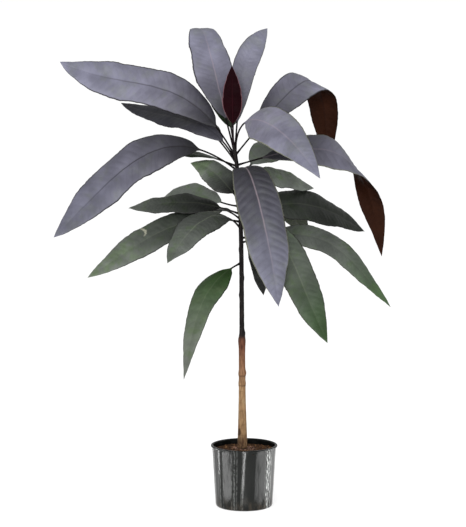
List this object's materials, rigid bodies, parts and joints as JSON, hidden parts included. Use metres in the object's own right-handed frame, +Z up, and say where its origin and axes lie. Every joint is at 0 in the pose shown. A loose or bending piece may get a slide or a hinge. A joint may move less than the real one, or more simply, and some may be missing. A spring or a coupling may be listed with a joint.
{
  "type": "potted mango tree sapling",
  "caption": "Young grafted mango tree with a slim straight trunk and a crown of long drooping leaves, standing in a round shiny black nursery pot filled with soil.",
  "frame": {"origin": "centre of the pot's flat underside", "axes": "+Z up along the trunk, +X to the right and +Y to the back as the sapling is seen from its front"},
  "size_m": [0.6353, 0.4148, 0.907],
  "materials": {
    "pot_plastic": "thin black plastic, shiny, with soft upright creases",
    "potting_soil": "moist dark brown soil with paler crumbs and root bits",
    "bark": "matte brown bark below the graft, smooth purplish black stem above it",
    "young_leaf": "young leathery leaf, soft grey-purple sheen above, dark maroon brown below",
    "newest_leaf": "unfolding leaf, deep maroon with a pinkish margin",
    "grown_leaf": "grown leathery leaf, dark grey-green with a dull waxy sheen"
  },
  "bodies": {
    "root": {"pot": "pot_plastic", "soil": "potting_soil", "trunk": "bark", "crown_leaf_1": "young_leaf", "crown_leaf_2": "young_leaf", "crown_leaf_3": "young_leaf", "crown_leaf_4": "young_leaf", "crown_leaf_5": "newest_leaf", "crown_leaf_6": "young_leaf", "crown_leaf_7": "young_leaf", "crown_leaf_8": "young_leaf", "crown_leaf_9": "young_leaf", "crown_leaf_10": "young_leaf", "middle_leaf_1": "grown_leaf", "middle_leaf_2": "grown_leaf", "middle_leaf_3": "grown_leaf", "middle_leaf_4": "grown_leaf", "middle_leaf_5": "grown_leaf", "middle_leaf_6": "grown_leaf", "middle_leaf_7": "grown_leaf", "lower_leaf_1": "grown_leaf", "lower_leaf_2": "grown_leaf", "lower_leaf_3": "grown_leaf", "lower_leaf_4": "grown_leaf", "low_leaf": "grown_leaf", "back_leaf_1": "grown_leaf", "back_leaf_2": "grown_leaf", "back_leaf_3": "grown_leaf", "back_leaf_4": "grown_leaf", "back_leaf_5": "grown_leaf", "back_leaf_6": "grown_leaf", "back_leaf_7": "grown_leaf", "back_leaf_8": "grown_leaf"}
  },
  "joints": []
}
